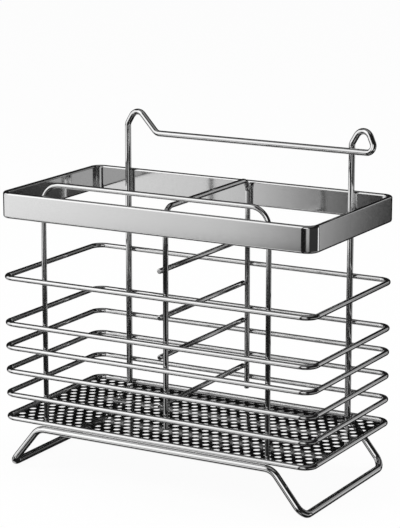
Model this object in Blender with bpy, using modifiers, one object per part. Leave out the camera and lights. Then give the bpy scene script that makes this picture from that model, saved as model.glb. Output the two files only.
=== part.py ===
"""Stainless steel wire holder with a drained tray and two compartments.

A cage of stacked wire hoops stands on a bent wire foot. A perforated plate drains it, a flat
band closes its top, and three bent wire frames tie everything together: the front frame, the
back frame with its bar and its two hangers, and the frame that divides the cage in two.

Lengths are in metres and angles in degrees. X runs along the front, from left to right, Y runs
from the front to the back, and Z is up. The origin lies under the middle of the cage, on the
surface that the foot stands on. All the pieces are welded on the real object, so neighbours
meet across CONTACT_GAP and nothing moves.
"""
import math

import bmesh
import bpy
from mathutils import Vector

# Space left between pieces that are welded together
CONTACT_GAP = 0.0003

# Cage of wire hoops, measured outside the wire, and the heights of the hoops over the tray rim
CAGE_WIDTH = 0.200
CAGE_DEPTH = 0.1046
HOOP_WIRE = 0.0030
HOOP_CORNER = 0.0068
LOWER_HOOPS = 4
LOWER_HOOP_PITCH = 0.014
TOP_HOOP_RISE = 0.083

# Wire foot: how far its floor bars stay inside the cage, and how far its legs come down and out
FOOT_WIRE = 0.0041
FOOT_INSET = 0.003
FOOT_DROP = 0.0238
FOOT_REACH = 0.0193
FOOT_RAIL_BEND = 0.009
FOOT_FLOOR_BEND = 0.007

# Flat band around the top, as thick as the hoop wire because both meet the same uprights
BAND_RISE = 0.1177
BAND_HEIGHT = 0.015
BAND_CORNER = 0.0072
BAND_SIDE_INSET = 0.0004
BAND_EDGE_ROUND = 0.0013

# Front frame: two uprights inside the cage's corners and the handle bar above the band. It is
# welded in a little left of the middle.
FRONT_WIRE = 0.0029
FRONT_INSET = 0.0285
FRONT_SHIFT = -0.0006
FRONT_BAR_RISE = 0.0065
FRONT_BEND = 0.011

# Back frame: two uprights, the back bar, an open peak on the left and a loop on the right
BACK_WIRE = 0.0036
BACK_INSET = 0.0262
BACK_BAR_RISE = 0.0238
HANGER_RISE = 0.0114
HANGER_BEND = 0.0056
LEAN_RISE = 0.0038
LEAN_ANGLE = 59.8
LEAN_BEND = 0.005
PEAK_ANGLE = 42.0
PEAK_BEND = 0.005
LOOP_ANGLE = 61.7
LOOP_BEND = 0.0037

# Divider: a frame across the depth, and straight rods welded to its left side
DIVIDER_WIRE = 0.0030
DIVIDER_X = 0.0073
DIVIDER_BAR_RISE = 0.0008
DIVIDER_BEND = 0.0065
DIVIDER_END_RISE = 0.0075
ROD_WIRE = 0.0030
ROD_RISES = (0.0207, 0.0487, 0.0712, 0.0976)

# Perforated drain plate inside the rim, with staggered rows of holes
PLATE_THICKNESS = 0.0006
PLATE_DROP = 0.0002
HOLE_DIAMETER = 0.0040
HOLE_PITCH = 0.00645
HOLE_MARGIN = 0.001
HOLE_SHIFT = -0.0011

# Fineness of the model
ARC_STEP = 18.0
WIRE_RESOLUTION = 2
BAND_EDGE_SEGMENTS = 2
HOLE_SIDES = 4

# Finish of the metal
STEEL_COLOUR = (0.70, 0.70, 0.70, 1.0)
STEEL_ROUGHNESS = 0.12

# Heights that several pieces share
foot_floor_z = FOOT_WIRE / 2
foot_rail_z = foot_floor_z + FOOT_DROP
rim_z = foot_rail_z + FOOT_WIRE / 2 + CONTACT_GAP + HOOP_WIRE / 2
plate_top = rim_z - PLATE_DROP
band_top = rim_z + BAND_RISE + BAND_HEIGHT
back_bar_z = band_top + BACK_BAR_RISE


def upright_y(diameter):
    """Distance from the middle of the depth to an upright inside the hoops and the band."""
    return CAGE_DEPTH / 2 - HOOP_WIRE - CONTACT_GAP - diameter / 2


def steel(name):
    """Polished stainless steel, one material for each piece."""
    material = bpy.data.materials.new(name + "_steel")
    material.use_nodes = True
    shader = material.node_tree.nodes["Principled BSDF"]
    shader.inputs["Base Color"].default_value = STEEL_COLOUR
    shader.inputs["Metallic"].default_value = 1.0
    shader.inputs["Roughness"].default_value = STEEL_ROUGHNESS
    return material


def add_piece(name, data, collection):
    """A named piece with its own steel."""
    data.materials.append(steel(name))
    piece = bpy.data.objects.new(name, data)
    collection.objects.link(piece)
    return piece


def bend(before, corner, after, radius):
    """Points of the arc that rounds one corner of a path."""
    into = (corner - before).normalized()
    out = (after - corner).normalized()
    turn = into.angle(out)
    inward = (out - into * into.dot(out)).normalized()
    start = corner - into * radius * math.tan(turn / 2)
    centre = start + inward * radius
    steps = max(2, math.ceil(math.degrees(turn) / ARC_STEP))
    points = []
    for step in range(steps + 1):
        angle = turn * step / steps
        points.append(centre - inward * radius * math.cos(angle) + into * radius * math.sin(angle))
    return points


def open_path(corners, radii):
    """A path with free ends whose inner corners are rounded by the radii."""
    points = [corners[0]]
    for index, radius in enumerate(radii, start=1):
        points += bend(corners[index - 1], corners[index], corners[index + 1], radius)
    points.append(corners[-1])
    return points


def closed_path(corners, radii):
    """A path that closes on itself, with every corner rounded."""
    points = []
    for index, radius in enumerate(radii):
        after = corners[(index + 1) % len(corners)]
        points += bend(corners[index - 1], corners[index], after, radius)
    return points


def rounded_rectangle(width, depth, radius):
    """A level outline around the Z axis, anticlockwise from the front left."""
    x = width / 2
    y = depth / 2
    corners = [Vector((-x, -y, 0)), Vector((x, -y, 0)), Vector((x, y, 0)), Vector((-x, y, 0))]
    return closed_path(corners, [radius] * 4)


def add_spline(curve, points, closed):
    """Straight stretches from point to point, as one more spline of a curve."""
    spline = curve.splines.new("POLY")
    spline.points.add(len(points) - 1)
    for target, point in zip(spline.points, points):
        target.co = (*point, 1)
    spline.use_cyclic_u = closed


def wire(name, points, diameter, closed, collection):
    """A round wire along a path, cut square where it ends."""
    curve = bpy.data.curves.new(name, "CURVE")
    curve.dimensions = "3D"
    curve.bevel_depth = diameter / 2
    curve.bevel_resolution = WIRE_RESOLUTION
    curve.use_fill_caps = True
    add_spline(curve, points, closed)
    return add_piece(name, curve, collection)


def hoop(name, height, collection):
    """One hoop of the cage. The tray rim is the lowest of them."""
    outline = rounded_rectangle(CAGE_WIDTH - HOOP_WIRE, CAGE_DEPTH - HOOP_WIRE, HOOP_CORNER)
    piece = wire(name, outline, HOOP_WIRE, True, collection)
    piece.location.z = height


def foot_frame(collection):
    """One closed wire: a rail under the rim in front and behind, and a floor bar on each side."""
    floor_x = CAGE_WIDTH / 2 - FOOT_INSET - FOOT_WIRE / 2
    rail_x = floor_x - FOOT_REACH
    y = (CAGE_DEPTH - HOOP_WIRE) / 2
    corners = [
        Vector((-rail_x, -y, foot_rail_z)),
        Vector((rail_x, -y, foot_rail_z)),
        Vector((floor_x, -y, foot_floor_z)),
        Vector((floor_x, y, foot_floor_z)),
        Vector((rail_x, y, foot_rail_z)),
        Vector((-rail_x, y, foot_rail_z)),
        Vector((-floor_x, y, foot_floor_z)),
        Vector((-floor_x, -y, foot_floor_z)),
    ]
    radii = [FOOT_RAIL_BEND, FOOT_RAIL_BEND, FOOT_FLOOR_BEND, FOOT_FLOOR_BEND] * 2
    wire("foot_frame", closed_path(corners, radii), FOOT_WIRE, True, collection)


def top_band(collection):
    """A flat strip bent into a ring, with rounded edges."""
    outline = rounded_rectangle(CAGE_WIDTH - 2 * BAND_SIDE_INSET, CAGE_DEPTH, BAND_CORNER)
    surface = bmesh.new()
    lower = [surface.verts.new(point) for point in outline]
    upper = [surface.verts.new(point + Vector((0, 0, BAND_HEIGHT))) for point in outline]
    for index in range(len(outline)):
        after = (index + 1) % len(outline)
        surface.faces.new((lower[index], lower[after], upper[after], upper[index]))
    mesh = bpy.data.meshes.new("top_band")
    surface.to_mesh(mesh)
    surface.free()
    mesh.shade_smooth()
    band = add_piece("top_band", mesh, collection)
    band.location.z = rim_z + BAND_RISE
    thickness = band.modifiers.new("Thickness", "SOLIDIFY")
    thickness.thickness = HOOP_WIRE
    thickness.offset = -1
    thickness.use_even_offset = True
    edges = band.modifiers.new("Rounded edges", "BEVEL")
    edges.width = BAND_EDGE_ROUND
    edges.segments = BAND_EDGE_SEGMENTS
    edges.limit_method = "ANGLE"
    edges.angle_limit = math.radians(60)


def front_frame(collection):
    """Uprights inside the front of the hoops, joined by the handle bar."""
    x = CAGE_WIDTH / 2 - FRONT_INSET
    y = -upright_y(FRONT_WIRE)
    foot = plate_top + CONTACT_GAP
    top = band_top + FRONT_BAR_RISE
    corners = [Vector((-x, y, foot)), Vector((-x, y, top)), Vector((x, y, top)), Vector((x, y, foot))]
    path = open_path(corners, [FRONT_BEND] * 2)
    frame = wire("front_frame", path, FRONT_WIRE, False, collection)
    frame.location.x = FRONT_SHIFT


def hanger(lean_x, fall_angle):
    """Where a hanger's straight stretches would meet: its apex's x and z, and its foot's x.

    The wire leans over from the upright at lean_x, turns round the apex just at the hanger's
    height, and comes down to the bar at the fall angle.
    """
    rise = Vector((math.cos(math.radians(LEAN_ANGLE)), math.sin(math.radians(LEAN_ANGLE))))
    fall = Vector((math.cos(math.radians(fall_angle)), -math.sin(math.radians(fall_angle))))
    half_angle = (math.pi - rise.angle(fall)) / 2
    inward = (fall - rise).normalized()
    overshoot = -inward.y / math.sin(half_angle) - 1
    apex_z = back_bar_z + HANGER_RISE + HANGER_BEND * overshoot
    apex_x = lean_x + (apex_z - back_bar_z - LEAN_RISE) * rise.x / rise.y
    foot_x = apex_x - (apex_z - back_bar_z) * fall.x / fall.y
    return apex_x, apex_z, foot_x


def back_frame(collection):
    """One wire: left upright, open peak, back bar, loop, right upright.

    The bar runs one wire in front of the uprights, so it passes the right one where they cross.
    """
    x = CAGE_WIDTH / 2 - BACK_INSET
    y = upright_y(BACK_WIRE)
    bar_y = y - BACK_WIRE - CONTACT_GAP
    foot = plate_top + CONTACT_GAP
    lean_z = back_bar_z + LEAN_RISE
    peak_x, peak_z, peak_foot = hanger(-x, PEAK_ANGLE)
    loop_x, loop_z, loop_foot = hanger(x, LOOP_ANGLE)
    corners = [
        Vector((-x, y, foot)),
        Vector((-x, y, lean_z)),
        Vector((peak_x, y, peak_z)),
        Vector((peak_foot, bar_y, back_bar_z)),
        Vector((loop_foot, bar_y, back_bar_z)),
        Vector((loop_x, y, loop_z)),
        Vector((x, y, lean_z)),
        Vector((x, y, foot)),
    ]
    radii = [LEAN_BEND, HANGER_BEND, PEAK_BEND, LOOP_BEND, HANGER_BEND, LEAN_BEND]
    wire("back_frame", open_path(corners, radii), BACK_WIRE, False, collection)


def divider_frame(collection):
    """Uprights inside the front and the back of the hoops, joined across the depth."""
    x = DIVIDER_X
    y = upright_y(DIVIDER_WIRE)
    end = rim_z + DIVIDER_END_RISE
    top = band_top + DIVIDER_BAR_RISE
    corners = [Vector((x, -y, end)), Vector((x, -y, top)), Vector((x, y, top)), Vector((x, y, end))]
    wire("divider_frame", open_path(corners, [DIVIDER_BEND] * 2), DIVIDER_WIRE, False, collection)


def divider_rod(name, rise, collection):
    """A rod from front to back, as long as the divider frame is deep."""
    half_length = upright_y(DIVIDER_WIRE) + DIVIDER_WIRE / 2
    ends = [Vector((0, -half_length, 0)), Vector((0, half_length, 0))]
    rod = wire(name, ends, ROD_WIRE, False, collection)
    rod.location.x = DIVIDER_X - DIVIDER_WIRE / 2 - CONTACT_GAP - ROD_WIRE / 2
    rod.location.z = rim_z + rise


def hole_centres(width, depth):
    """Rows that are staggered by half a pitch. The first row and the last are short ones."""
    row_pitch = HOLE_PITCH * math.sqrt(3) / 2
    spare = HOLE_DIAMETER + 2 * HOLE_MARGIN
    columns = int((width - spare) / HOLE_PITCH) + 1
    rows = int((depth - spare) / row_pitch) + 1
    centres = []
    for row in range(rows):
        count = columns - 1 if row % 2 == 0 else columns
        y = (row - (rows - 1) / 2) * row_pitch
        for column in range(count):
            x = HOLE_SHIFT + (column - (count - 1) / 2) * HOLE_PITCH
            centres.append(Vector((x, y, 0)))
    return centres


def hole_outline(centre):
    """A round hole as a polygon that leaves the same area open."""
    step = 2 * math.pi / HOLE_SIDES
    radius = HOLE_DIAMETER / 2 * math.sqrt(step / math.sin(step))
    points = []
    for side in range(HOLE_SIDES):
        angle = (side + 0.5) * step
        points.append(centre + radius * Vector((math.cos(angle), math.sin(angle), 0)))
    return points


def drain_plate(collection):
    """A sheet inside the rim, full of holes."""
    edge = 2 * (HOOP_WIRE + CONTACT_GAP)
    width = CAGE_WIDTH - edge
    depth = CAGE_DEPTH - edge
    corner = HOOP_CORNER - HOOP_WIRE / 2 - CONTACT_GAP
    sheet = bpy.data.curves.new("drain_plate", "CURVE")
    sheet.dimensions = "2D"
    sheet.fill_mode = "BOTH"
    sheet.extrude = PLATE_THICKNESS / 2
    add_spline(sheet, rounded_rectangle(width, depth, corner), True)
    for centre in hole_centres(width, depth):
        add_spline(sheet, hole_outline(centre), True)
    plate = add_piece("drain_plate", sheet, collection)
    plate.location.z = plate_top - PLATE_THICKNESS / 2


def build():
    """Clears the scene and makes every piece of the holder."""
    for leftover in list(bpy.data.objects):
        bpy.data.objects.remove(leftover, do_unlink=True)
    collection = bpy.data.collections.new("chopstick_holder")
    bpy.context.scene.collection.children.link(collection)
    foot_frame(collection)
    drain_plate(collection)
    hoop("tray_rim", rim_z, collection)
    for number in range(1, LOWER_HOOPS + 1):
        hoop(f"hoop_{number}", rim_z + number * LOWER_HOOP_PITCH, collection)
    hoop(f"hoop_{LOWER_HOOPS + 1}", rim_z + TOP_HOOP_RISE, collection)
    top_band(collection)
    front_frame(collection)
    back_frame(collection)
    divider_frame(collection)
    for number, rise in enumerate(ROD_RISES, start=1):
        divider_rod(f"divider_rod_{number}", rise, collection)


build()
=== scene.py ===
"""Looks of the wire holder: smooth round wires, a rolled band, a punched plate and weld beads.

Lengths are in metres and angles in degrees. Each piece is built where its CAD node is, from that
node's box, and stands for it.
"""

import math

import bmesh
import bpy
from mathutils import Matrix, Vector

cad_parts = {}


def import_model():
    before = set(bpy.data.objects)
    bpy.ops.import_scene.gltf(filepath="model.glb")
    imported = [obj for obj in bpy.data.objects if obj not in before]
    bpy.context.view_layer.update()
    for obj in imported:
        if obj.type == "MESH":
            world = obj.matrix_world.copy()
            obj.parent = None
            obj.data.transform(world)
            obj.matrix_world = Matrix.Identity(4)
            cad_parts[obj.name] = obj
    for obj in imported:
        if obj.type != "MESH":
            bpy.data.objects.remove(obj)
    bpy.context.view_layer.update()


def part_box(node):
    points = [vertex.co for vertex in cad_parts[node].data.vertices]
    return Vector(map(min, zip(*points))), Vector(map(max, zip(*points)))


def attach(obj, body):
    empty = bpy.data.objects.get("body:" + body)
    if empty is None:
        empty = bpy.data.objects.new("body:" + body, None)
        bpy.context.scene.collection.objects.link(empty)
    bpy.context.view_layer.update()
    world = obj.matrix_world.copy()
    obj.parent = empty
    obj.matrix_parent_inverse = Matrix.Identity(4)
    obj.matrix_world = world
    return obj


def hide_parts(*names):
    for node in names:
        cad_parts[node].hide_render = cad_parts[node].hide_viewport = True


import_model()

# CAD nodes of a kind
HOOPS = ("hoop_1", "hoop_2", "hoop_3", "hoop_4", "hoop_5")
RODS = ("divider_rod_1", "divider_rod_2", "divider_rod_3", "divider_rod_4")

# Wires
HOOP_WIRE = 0.0030
FRONT_WIRE = 0.0029
BACK_WIRE = 0.0036
DIVIDER_WIRE = 0.0030
ROD_WIRE = 0.0030
FOOT_WIRE = 0.0041

# Bends, to the middle of the wire, and how far the foot's legs reach outwards
HOOP_CORNER = 0.0068
FRONT_BEND = 0.011
DIVIDER_BEND = 0.0065
FOOT_RAIL_BEND = 0.009
FOOT_FLOOR_BEND = 0.007
FOOT_REACH = 0.0193

# Back frame above the band. The hangers rise 0.1 mm less than the CAD's, because their arcs are
# finer and would reach above its box.
BACK_BAR_RISE = 0.0238
HANGER_RISE = 0.0113
HANGER_BEND = 0.0056
LEAN_RISE = 0.0038
LEAN_ANGLE = 59.8
LEAN_BEND = 0.005
PEAK_ANGLE = 42.0
PEAK_BEND = 0.005
LOOP_ANGLE = 61.7
LOOP_BEND = 0.0037

# Band around the top
BAND_THICKNESS = 0.0030
BAND_CORNER = 0.0072
BAND_EDGE_ROUND = 0.0013
BAND_FLAT_WEIGHT = 100

# Plate. It reaches a little further than the CAD's, under the rim wire.
HOLE_DIAMETER = 0.0040
HOLE_PITCH = 0.00645
HOLE_MARGIN = 0.001
HOLE_SHIFT = -0.0011
PLATE_EDGE_ROUND = 0.00026
PLATE_REACH = 0.0005

# Fineness of arcs, wires and edges, and how far from a bend the straight side has its next point
ARC_STEP = 5.0
LEAST_ARC_STEPS = 4
SUPPORT = 0.0003
WIRE_RESOLUTION = 10
BAND_EDGE_STEPS = 6
HOLE_SIDES = 24
PLATE_EDGE_RESOLUTION = 2

# Rounding of the wires' cut ends
END_ROUND = 0.0005
END_STEPS = 4

# Weld beads: half their height across the gap, half their width, and fineness
BEAD_HEIGHT = 0.0005
BEAD_SPREAD = 0.0012
BEAD_SEGMENTS = 16

# Steel: its fine grain, the part of the grain's range that tone and gloss follow, the share by
# which gloss varies, and its faint waves
GRAIN_SCALE = 700.0
GRAIN_DETAIL = 3.0
GRAIN_ROUGHNESS = 0.6
GRAIN_LOW = 0.3
GRAIN_HIGH = 0.7
GLOSS_SPREAD = 0.2
WAVE_SCALE = 120.0
WAVE_DETAIL = 1.0
WAVE_HEIGHT = 0.001

# Camera, from the photograph. The sensor is in millimetres and spans the picture's height.
CAMERA_PLACE = (0.58239, -1.02975, 0.38984)
CAMERA_AZIMUTH = 29.401
CAMERA_PITCH = 12.785
CAMERA_ROLL = 0.049
CAMERA_FOCUS_PIXELS = 2134.9
CAMERA_NEAR = 0.01
PHOTO_HEIGHT_PIXELS = 528
SENSOR = 36.0

# Studio panels that the metal reflects: azimuths from the front towards the left and their
# softness, elevations and their softness, and strength
PANELS = (
    (26.6, 48, 2.5, -12.9, -4, 0.5, 0.70),
    (32.0, 48, 4.0, -12.9, -4, 0.5, 0.27),
    (27.0, 42, 2.5, -42, -19, 3.0, 0.84),
    (-40, 8, 8.0, -66, -44, 4.0, 0.22),
    (20.0, 62, 4.0, -4, 53, 3.0, 1.02),
    (32.0, 48, 4.0, -4, 46, 3.0, 0.32),
    (48, 97, 2.5, -12.8, -8, 0.6, 0.94),
    (50, 66, 3.0, -8, -4, 0.6, 0.92),
    (62, 90, 4.0, -4, 34, 5.0, 1.00),
    (-42, -16, 6.0, -12.7, -8, 0.4, 0.52),
    (-30, 6, 7.0, -6, 23, 3.0, 1.25),
    (-125, -45, 6.0, -14, -8, 1.5, 0.025),
    (-154.3, -150.2, 1.8, -17, -7, 3.0, 0.54),
    (-141.5, -127, 2.0, -17, -7, 3.0, 1.00),
    (-165, -152.5, 2.5, 10, 25, 4.0, 0.44),
    (-152, -146.5, 1.6, -8, 10, 5.0, 0.60),
    (-148, -141, 2.0, 4, 22, 5.0, 0.16),
    (-180, 180, 1.0, 58, 95, 6.0, 0.20),
    (100, 150, 12.0, -64, -34, 8.0, 0.60),
    (-128, -60, 10.0, -36, -19, 4.0, 0.40),
    (62, 128, 8.0, -34, -19, 4.0, 0.40),
    (135, 152, 4.0, -30, -18, 3.0, 0.60),
)

# Level of the studio between its panels, of the white backdrop, and of the light from all around
STUDIO_DARK = 0.012
BACKDROP_STRENGTH = 1.0
AMBIENT_STRENGTH = 0.6

# Floor, and the share of its look that stays white in the shadow
FLOOR_SIZE = 6
FLOOR_TONE = 0.8
FLOOR_GLOW = 0.95

# Lamps: place, side and power, and the height on the holder that they are aimed at
LAMPS = (
    ("key_lamp", (-0.9, -1.1, 1.2), 0.9, 12),
    ("fill_lamp", (1.2, -0.7, 0.9), 0.9, 5),
    ("top_lamp", (0.1, 0.3, 1.6), 1.2, 10),
)
LAMP_AIM_HEIGHT = 0.08


# Paths

def bend(before, corner, after, radius):
    """Points of the arc that rounds one corner, with a point on each straight side near it."""
    into = (corner - before).normalized()
    out = (after - corner).normalized()
    turn = into.angle(out)
    inward = (out - into * into.dot(out)).normalized()
    reach = radius * math.tan(turn / 2)
    centre = corner - into * reach + inward * radius
    steps = max(LEAST_ARC_STEPS, math.ceil(math.degrees(turn) / ARC_STEP))
    points = [corner - into * (reach + SUPPORT)]
    for step in range(steps + 1):
        angle = turn * step / steps
        points.append(centre - inward * radius * math.cos(angle) + into * radius * math.sin(angle))
    points.append(corner + out * (reach + SUPPORT))
    return points


def open_path(corners, radii):
    points = [corners[0]]
    for index, radius in enumerate(radii, start=1):
        points += bend(corners[index - 1], corners[index], corners[index + 1], radius)
    points.append(corners[-1])
    return points


def closed_path(corners, radii):
    points = []
    for index, radius in enumerate(radii):
        after = corners[(index + 1) % len(corners)]
        points += bend(corners[index - 1], corners[index], after, radius)
    return points


def rounded_rectangle(width, depth, radius, height=0.0):
    x = width / 2
    y = depth / 2
    corners = [Vector((-x, -y, height)), Vector((x, -y, height)),
               Vector((x, y, height)), Vector((-x, y, height))]
    return closed_path(corners, [radius] * 4)


# Objects and their data

def add_object(name, data):
    made = bpy.data.objects.new(name, data)
    bpy.context.scene.collection.objects.link(made)
    return made


def mesh_data(name, mesh):
    """Mesh data with the given name from a bmesh, which is freed."""
    data = bpy.data.meshes.new(name)
    mesh.to_mesh(data)
    mesh.free()
    return data


def sort_by_place(elements, place):
    """Orders vertices, edges or faces by their place, so that each run gives the same mesh."""
    for index, element in enumerate(sorted(elements, key=lambda element: tuple(place(element)))):
        element.index = index
    elements.sort()


def add_spline(curve, points, closed):
    spline = curve.splines.new("POLY")
    spline.points.add(len(points) - 1)
    for target, point in zip(spline.points, points):
        target.co = (*point, 1)
    spline.use_cyclic_u = closed
    return spline


def place_piece(piece, material, slot, *nodes):
    """Gives a piece its material, lets it ride on the body and stand for its CAD nodes."""
    piece.data.materials.append(material)
    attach(piece, "root")
    if nodes:
        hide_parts(*nodes)


# Materials

def grey(value):
    return (value, value, value, 1)


def add_node(tree, kind, **values):
    """A shader node with its input sockets set by name."""
    made = tree.nodes.new(kind)
    for name, value in values.items():
        made.inputs[name.replace("_", " ")].default_value = value
    return made


def steel(name, pale, dark, roughness, waviness):
    """Polished steel: drawn grain in its tone and gloss, and a faint waviness of the surface."""
    material = bpy.data.materials.new(name)
    material.use_nodes = True
    tree = material.node_tree
    shader = tree.nodes["Principled BSDF"]
    shader.inputs["Metallic"].default_value = 1.0
    place = tree.nodes.new("ShaderNodeTexCoord")
    grain = add_node(tree, "ShaderNodeTexNoise", Scale=GRAIN_SCALE, Detail=GRAIN_DETAIL,
                     Roughness=GRAIN_ROUGHNESS)
    tree.links.new(place.outputs["Object"], grain.inputs["Vector"])
    tone = tree.nodes.new("ShaderNodeValToRGB")
    tone.color_ramp.elements[0].position = GRAIN_LOW
    tone.color_ramp.elements[0].color = grey(dark)
    tone.color_ramp.elements[1].position = GRAIN_HIGH
    tone.color_ramp.elements[1].color = grey(pale)
    tree.links.new(grain.outputs["Fac"], tone.inputs["Fac"])
    tree.links.new(tone.outputs["Color"], shader.inputs["Base Color"])
    gloss = add_node(tree, "ShaderNodeMapRange", From_Min=GRAIN_LOW, From_Max=GRAIN_HIGH,
                     To_Min=roughness * (1 - GLOSS_SPREAD), To_Max=roughness * (1 + GLOSS_SPREAD))
    tree.links.new(grain.outputs["Fac"], gloss.inputs["Value"])
    tree.links.new(gloss.outputs["Result"], shader.inputs["Roughness"])
    waves = add_node(tree, "ShaderNodeTexNoise", Scale=WAVE_SCALE, Detail=WAVE_DETAIL)
    tree.links.new(place.outputs["Object"], waves.inputs["Vector"])
    bump = add_node(tree, "ShaderNodeBump", Strength=waviness, Distance=WAVE_HEIGHT)
    tree.links.new(waves.outputs["Fac"], bump.inputs["Height"])
    tree.links.new(bump.outputs["Normal"], shader.inputs["Normal"])
    return material


WIRE_STEEL = steel("wire_steel", pale=0.80, dark=0.74, roughness=0.08, waviness=0.01)
BAND_STEEL = steel("band_steel", pale=0.80, dark=0.75, roughness=0.08, waviness=0.004)
# The plate is the same steel as the wires, but its tone is kept far darker: painted shade that
# dims all it mirrors.
PLATE_STEEL_PAINTED_SHADE = steel("plate_steel_painted_shade", pale=0.24, dark=0.20, roughness=0.06, waviness=0.004)
WELD_STEEL = steel("weld_steel", pale=0.58, dark=0.44, roughness=0.32, waviness=0.05)


# Wires

def wire(name, points, diameter, closed, round_ends=False):
    """A round wire along a path. Round ends have their edge taken off."""
    shares = [1.0] * len(points)
    if round_ends:
        points, shares = rounded_ends(points, diameter / 2)
    curve = bpy.data.curves.new(name, "CURVE")
    curve.dimensions = "3D"
    curve.bevel_depth = diameter / 2
    curve.bevel_resolution = WIRE_RESOLUTION
    curve.use_fill_caps = True
    spline = add_spline(curve, points, closed)
    for target, share in zip(spline.points, shares):
        target.radius = share
    spline.use_smooth = True
    place_piece(add_object(name, curve), WIRE_STEEL, "round_wire", name.removesuffix("_wire"))


def rounded_ends(points, radius):
    """The path with more points near both ends, and the share of the radius at each point."""
    first = (points[1] - points[0]).normalized()
    last = (points[-2] - points[-1]).normalized()
    start = []
    end = []
    for step in range(END_STEPS + 1):
        angle = math.radians(90 * step / END_STEPS)
        inset = END_ROUND * (1 - math.cos(angle))
        share = 1 - END_ROUND * (1 - math.sin(angle)) / radius
        start.append((points[0] + first * inset, share))
        end.insert(0, (points[-1] + last * inset, share))
    middle = [(point, 1.0) for point in points[1:-1]]
    both = start + middle + end
    return [point for point, share in both], [share for point, share in both]


def level_hoop(node):
    """A hoop of the cage, or the tray rim."""
    low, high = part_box(node)
    middle = (low.z + high.z) / 2
    outline = rounded_rectangle(
        high.x - low.x - HOOP_WIRE, high.y - low.y - HOOP_WIRE, HOOP_CORNER, middle)
    wire(node + "_wire", outline, HOOP_WIRE, True)


def front_frame():
    low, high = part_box("front_frame")
    half = FRONT_WIRE / 2
    left, right, top = low.x + half, high.x - half, high.z - half
    y = (low.y + high.y) / 2
    corners = [Vector((left, y, low.z)), Vector((left, y, top)),
               Vector((right, y, top)), Vector((right, y, low.z))]
    wire("front_frame_wire", open_path(corners, [FRONT_BEND] * 2), FRONT_WIRE, False)


def divider_frame():
    low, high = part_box("divider_frame")
    half = DIVIDER_WIRE / 2
    front, back, top = low.y + half, high.y - half, high.z - half
    x = (low.x + high.x) / 2
    corners = [Vector((x, front, low.z)), Vector((x, front, top)),
               Vector((x, back, top)), Vector((x, back, low.z))]
    wire("divider_frame_wire", open_path(corners, [DIVIDER_BEND] * 2), DIVIDER_WIRE, False, True)


def divider_rod(node):
    low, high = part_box(node)
    middle = (low + high) / 2
    ends = [Vector((middle.x, low.y, middle.z)), Vector((middle.x, high.y, middle.z))]
    wire(node + "_wire", ends, ROD_WIRE, False, True)


def hanger(lean_x, fall_angle, bar_z):
    """Apex and foot of a hanger, where its straight stretches would meet: x, z and x."""
    rise = Vector((math.cos(math.radians(LEAN_ANGLE)), math.sin(math.radians(LEAN_ANGLE))))
    fall = Vector((math.cos(math.radians(fall_angle)), -math.sin(math.radians(fall_angle))))
    half_angle = (math.pi - rise.angle(fall)) / 2
    inward = (fall - rise).normalized()
    overshoot = -inward.y / math.sin(half_angle) - 1
    apex_z = bar_z + HANGER_RISE + HANGER_BEND * overshoot
    apex_x = lean_x + (apex_z - bar_z - LEAN_RISE) * rise.x / rise.y
    foot_x = apex_x - (apex_z - bar_z) * fall.x / fall.y
    return apex_x, apex_z, foot_x


def back_frame():
    low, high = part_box("back_frame")
    half = BACK_WIRE / 2
    x = -low.x - half
    y = high.y - half
    bar_y = low.y + half
    bar_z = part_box("top_band")[1].z + BACK_BAR_RISE
    lean_z = bar_z + LEAN_RISE
    peak_x, peak_z, peak_foot = hanger(-x, PEAK_ANGLE, bar_z)
    loop_x, loop_z, loop_foot = hanger(x, LOOP_ANGLE, bar_z)
    corners = [
        Vector((-x, y, low.z)),
        Vector((-x, y, lean_z)),
        Vector((peak_x, y, peak_z)),
        Vector((peak_foot, bar_y, bar_z)),
        Vector((loop_foot, bar_y, bar_z)),
        Vector((loop_x, y, loop_z)),
        Vector((x, y, lean_z)),
        Vector((x, y, low.z)),
    ]
    radii = [LEAN_BEND, HANGER_BEND, PEAK_BEND, LOOP_BEND, HANGER_BEND, LEAN_BEND]
    wire("back_frame_wire", open_path(corners, radii), BACK_WIRE, False)


def foot_frame():
    low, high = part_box("foot_frame")
    half = FOOT_WIRE / 2
    floor_x = high.x - half
    rail_x = floor_x - FOOT_REACH
    y = high.y - half
    floor_z, rail_z = low.z + half, high.z - half
    corners = [
        Vector((-rail_x, -y, rail_z)), Vector((rail_x, -y, rail_z)),
        Vector((floor_x, -y, floor_z)), Vector((floor_x, y, floor_z)),
        Vector((rail_x, y, rail_z)), Vector((-rail_x, y, rail_z)),
        Vector((-floor_x, y, floor_z)), Vector((-floor_x, -y, floor_z)),
    ]
    radii = [FOOT_RAIL_BEND, FOOT_RAIL_BEND, FOOT_FLOOR_BEND, FOOT_FLOOR_BEND] * 2
    wire("foot_frame_wire", closed_path(corners, radii), FOOT_WIRE, True)


# Band

def band_section(height):
    """Outline of the strip as (out, up) from its outer lower corner, with rounded edges."""
    r = BAND_EDGE_ROUND
    inner = r - BAND_THICKNESS
    points = []
    arcs = [(-r, r, -90), (-r, height - r, 0), (inner, height - r, 90), (inner, r, 180)]
    for out, up, first in arcs:
        for step in range(BAND_EDGE_STEPS + 1):
            angle = math.radians(first + 90 * step / BAND_EDGE_STEPS)
            points.append((out + r * math.cos(angle), up + r * math.sin(angle)))
    return points


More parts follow.
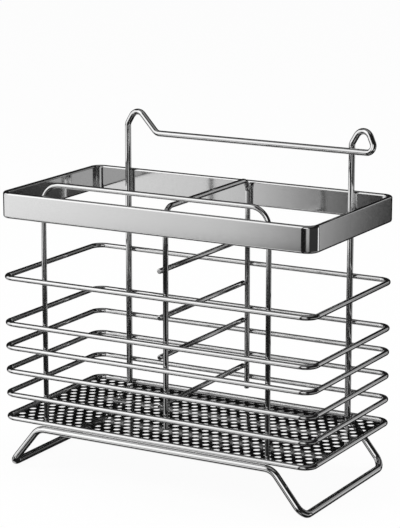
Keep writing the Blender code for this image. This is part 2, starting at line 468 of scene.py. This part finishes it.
def top_band():
    low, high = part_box("top_band")
    mesh = bmesh.new()
    rings = []
    for out, up in band_section(high.z - low.z):
        outline = rounded_rectangle(
            high.x - low.x + 2 * out, high.y - low.y + 2 * out, BAND_CORNER + out, low.z + up)
        rings.append([mesh.verts.new(point) for point in outline])
    for index, ring in enumerate(rings):
        above = rings[(index + 1) % len(rings)]
        for place in range(len(ring)):
            after = (place + 1) % len(ring)
            mesh.faces.new((ring[place], ring[after], above[after], above[place]))
    data = mesh_data("top_band_strip", mesh)
    data.shade_smooth()
    piece = add_object("top_band_strip", data)
    weighted = piece.modifiers.new("Flat faces stay flat", "WEIGHTED_NORMAL")
    weighted.weight = BAND_FLAT_WEIGHT
    place_piece(piece, BAND_STEEL, "flat_strip", "top_band")


# Plate

def hole_centres(width, depth):
    """Rows that are staggered by half a pitch. The first row and the last are short ones."""
    row_pitch = HOLE_PITCH * math.sqrt(3) / 2
    spare = HOLE_DIAMETER + 2 * HOLE_MARGIN
    columns = int((width - spare) / HOLE_PITCH) + 1
    rows = int((depth - spare) / row_pitch) + 1
    centres = []
    for row in range(rows):
        count = columns - 1 if row % 2 == 0 else columns
        y = (row - (rows - 1) / 2) * row_pitch
        for column in range(count):
            centres.append(Vector((HOLE_SHIFT + (column - (count - 1) / 2) * HOLE_PITCH, y, 0)))
    return centres


def drain_plate():
    """The sheet with its round holes. Its edge goes up to the rim wire that it is welded to."""
    low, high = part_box("drain_plate")
    width, depth = high.x - low.x, high.y - low.y
    sheet = bpy.data.curves.new("drain_plate_sheet", "CURVE")
    sheet.dimensions = "2D"
    sheet.fill_mode = "BOTH"
    sheet.extrude = (high.z - low.z) / 2 - PLATE_EDGE_ROUND
    sheet.bevel_depth = PLATE_EDGE_ROUND
    sheet.bevel_resolution = PLATE_EDGE_RESOLUTION
    sheet.offset = -PLATE_EDGE_ROUND
    corner = HOOP_CORNER - HOOP_WIRE / 2
    edge = rounded_rectangle(width + 2 * PLATE_REACH, depth + 2 * PLATE_REACH, corner)
    add_spline(sheet, edge, True)
    radius = HOLE_DIAMETER / 2
    turns = [2 * math.pi * side / HOLE_SIDES for side in range(HOLE_SIDES)]
    for centre in hole_centres(width, depth):
        hole = [centre + radius * Vector((math.cos(turn), math.sin(turn), 0)) for turn in turns]
        add_spline(sheet, hole, True)
    piece = add_object("drain_plate_sheet", sheet)
    piece.location.z = (low.z + high.z) / 2
    # The plate takes the darkened steel, whose tone is painted shade.
    place_piece(piece, PLATE_STEEL_PAINTED_SHADE, "perforated_sheet", "drain_plate")


# Welds

def beads(name, places):
    """Weld beads in one mesh. Each place is a centre and the direction across the gap."""
    size = Matrix.Diagonal((BEAD_SPREAD, BEAD_SPREAD, BEAD_HEIGHT, 1))
    mesh = bmesh.new()
    for centre, across in places:
        turn = Vector((0, 0, 1)).rotation_difference(across).to_matrix().to_4x4()
        matrix = Matrix.Translation(centre) @ turn @ size
        bmesh.ops.create_uvsphere(
            mesh, u_segments=BEAD_SEGMENTS, v_segments=BEAD_SEGMENTS // 2, radius=1, matrix=matrix)
    sort_by_place(mesh.verts, lambda vert: vert.co)
    sort_by_place(mesh.edges, lambda edge: edge.verts[0].co + edge.verts[1].co)
    sort_by_place(mesh.faces, lambda face: face.calc_center_median())
    data = mesh_data(name, mesh)
    data.shade_smooth()
    place_piece(add_object(name, data), WELD_STEEL, "round_wire")


def middle_z(node):
    low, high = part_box(node)
    return (low.z + high.z) / 2


def welds():
    """Beads between the uprights and what they cross, and between the divider and its rods."""
    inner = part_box("top_band")[1].y - BAND_THICKNESS
    front_low, front_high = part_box("front_frame")
    back_x = -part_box("back_frame")[0].x - BACK_WIRE / 2
    low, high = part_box("divider_frame")
    divider_x = (low.x + high.x) / 2
    uprights = [
        (front_low.x + FRONT_WIRE / 2, -1, ["tray_rim", *HOOPS, "top_band"]),
        (front_high.x - FRONT_WIRE / 2, -1, ["tray_rim", *HOOPS, "top_band"]),
        (-back_x, 1, ["tray_rim", *HOOPS, "top_band"]),
        (back_x, 1, ["tray_rim", *HOOPS, "top_band"]),
        (divider_x, -1, [*HOOPS, "top_band"]),
        (divider_x, 1, [*HOOPS, "top_band"]),
    ]
    places = []
    for x, side, nodes in uprights:
        for node in nodes:
            places.append((Vector((x, side * inner, middle_z(node))), Vector((0, 1, 0))))
    for rod in RODS:
        rod_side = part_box(rod)[1].x
        for y in (low.y + DIVIDER_WIRE / 2, high.y - DIVIDER_WIRE / 2):
            places.append((Vector((rod_side, y, middle_z(rod))), Vector((1, 0, 0))))
    beads("weld_beads", places)


# Stage

def studio(tree):
    """What the metal sees around it: dark, with soft light panels."""
    place = tree.nodes.new("ShaderNodeTexCoord")
    split = tree.nodes.new("ShaderNodeSeparateXYZ")
    tree.links.new(place.outputs["Generated"], split.inputs[0])

    def calc(operation, *values):
        made = tree.nodes.new("ShaderNodeMath")
        made.operation = operation
        for socket, value in zip(made.inputs, values):
            if isinstance(value, (int, float)):
                socket.default_value = value
            else:
                tree.links.new(value, socket)
        return made.outputs[0]

    def edge(value, low, high):
        made = tree.nodes.new("ShaderNodeMapRange")
        made.interpolation_type = "SMOOTHSTEP"
        tree.links.new(value, made.inputs["Value"])
        made.inputs["From Min"].default_value = low
        made.inputs["From Max"].default_value = high
        return made.outputs[0]

    def window(value, start, end, soft):
        offset = calc("SUBTRACT", value, (start + end) / 2)
        distance = calc("ABSOLUTE", calc("WRAP", offset, 180, -180))
        half = (end - start) / 2
        return calc("SUBTRACT", 1.0, edge(distance, half - soft, half + soft))

    x, y, z = split.outputs
    back = calc("MULTIPLY", y, -1)
    left = calc("MULTIPLY", x, -1)
    azimuth = calc("DEGREES", calc("ARCTAN2", left, back))
    elevation = calc("DEGREES", calc("ARCSINE", z))
    total = STUDIO_DARK
    for start, end, side_soft, low, high, end_soft, strength in PANELS:
        across = window(azimuth, start, end, side_soft)
        upward = window(elevation, low, high, end_soft)
        total = calc("ADD", total, calc("MULTIPLY", calc("MULTIPLY", across, upward), strength))
    return total


def world():
    """White for the camera, the studio for reflections in metal, an even light for the rest."""
    made = bpy.data.worlds.new("studio")
    bpy.context.scene.world = made
    made.use_nodes = True
    tree = made.node_tree
    tree.nodes.clear()
    path = tree.nodes.new("ShaderNodeLightPath")
    white = add_node(tree, "ShaderNodeBackground", Color=grey(1), Strength=BACKDROP_STRENGTH)
    ambient = add_node(tree, "ShaderNodeBackground", Color=grey(1), Strength=AMBIENT_STRENGTH)
    panels = add_node(tree, "ShaderNodeBackground", Color=grey(1))
    tree.links.new(studio(tree), panels.inputs["Strength"])
    unseen = tree.nodes.new("ShaderNodeMixShader")
    tree.links.new(path.outputs["Is Glossy Ray"], unseen.inputs[0])
    tree.links.new(ambient.outputs[0], unseen.inputs[1])
    tree.links.new(panels.outputs[0], unseen.inputs[2])
    whole = tree.nodes.new("ShaderNodeMixShader")
    tree.links.new(path.outputs["Is Camera Ray"], whole.inputs[0])
    tree.links.new(unseen.outputs[0], whole.inputs[1])
    tree.links.new(white.outputs[0], whole.inputs[2])
    output = tree.nodes.new("ShaderNodeOutputWorld")
    tree.links.new(whole.outputs[0], output.inputs["Surface"])


def floor():
    """A white floor that keeps the holder's shadow."""
    mesh = bmesh.new()
    bmesh.ops.create_grid(mesh, x_segments=1, y_segments=1, size=FLOOR_SIZE)
    piece = add_object("floor", mesh_data("floor", mesh))
    piece.visible_glossy = False
    material = bpy.data.materials.new("floor_white")
    material.use_nodes = True
    tree = material.node_tree
    tree.nodes.clear()
    path = tree.nodes.new("ShaderNodeLightPath")
    paint = add_node(tree, "ShaderNodeBsdfDiffuse", Color=grey(FLOOR_TONE))
    glow = add_node(tree, "ShaderNodeEmission", Color=grey(1), Strength=BACKDROP_STRENGTH)
    share = tree.nodes.new("ShaderNodeMath")
    share.operation = "MULTIPLY"
    share.inputs[1].default_value = FLOOR_GLOW
    tree.links.new(path.outputs["Is Camera Ray"], share.inputs[0])
    both = tree.nodes.new("ShaderNodeMixShader")
    tree.links.new(share.outputs[0], both.inputs[0])
    tree.links.new(paint.outputs[0], both.inputs[1])
    tree.links.new(glow.outputs[0], both.inputs[2])
    output = tree.nodes.new("ShaderNodeOutputMaterial")
    tree.links.new(both.outputs[0], output.inputs["Surface"])
    piece.data.materials.append(material)


def lamp(name, place, side, power):
    """A soft square lamp aimed at the middle of the holder, which the metal does not mirror."""
    data = bpy.data.lights.new(name, "AREA")
    data.size = side
    data.energy = power
    made = add_object(name, data)
    made.location = place
    aim = Vector((0, 0, LAMP_AIM_HEIGHT)) - made.location
    made.rotation_euler = aim.to_track_quat("-Z", "Y").to_euler()
    made.visible_glossy = False


def camera():
    data = bpy.data.cameras.new("camera")
    data.sensor_width = SENSOR
    data.lens = SENSOR * CAMERA_FOCUS_PIXELS / PHOTO_HEIGHT_PIXELS
    data.clip_start = CAMERA_NEAR
    made = add_object("camera", data)
    turn = Matrix.Rotation(math.radians(CAMERA_AZIMUTH), 4, "Z")
    tilt = Matrix.Rotation(math.radians(90 - CAMERA_PITCH), 4, "X")
    roll = Matrix.Rotation(math.radians(CAMERA_ROLL), 4, "Z")
    made.matrix_world = Matrix.Translation(CAMERA_PLACE) @ turn @ tilt @ roll
    bpy.context.scene.camera = made


camera()
world()
floor()
for name, place, side, power in LAMPS:
    lamp(name, place, side, power)
bpy.context.scene.view_settings.view_transform = "Standard"

for node in ("tray_rim", *HOOPS):
    level_hoop(node)
front_frame()
back_frame()
divider_frame()
for node in RODS:
    divider_rod(node)
foot_frame()
top_band()
drain_plate()
welds()
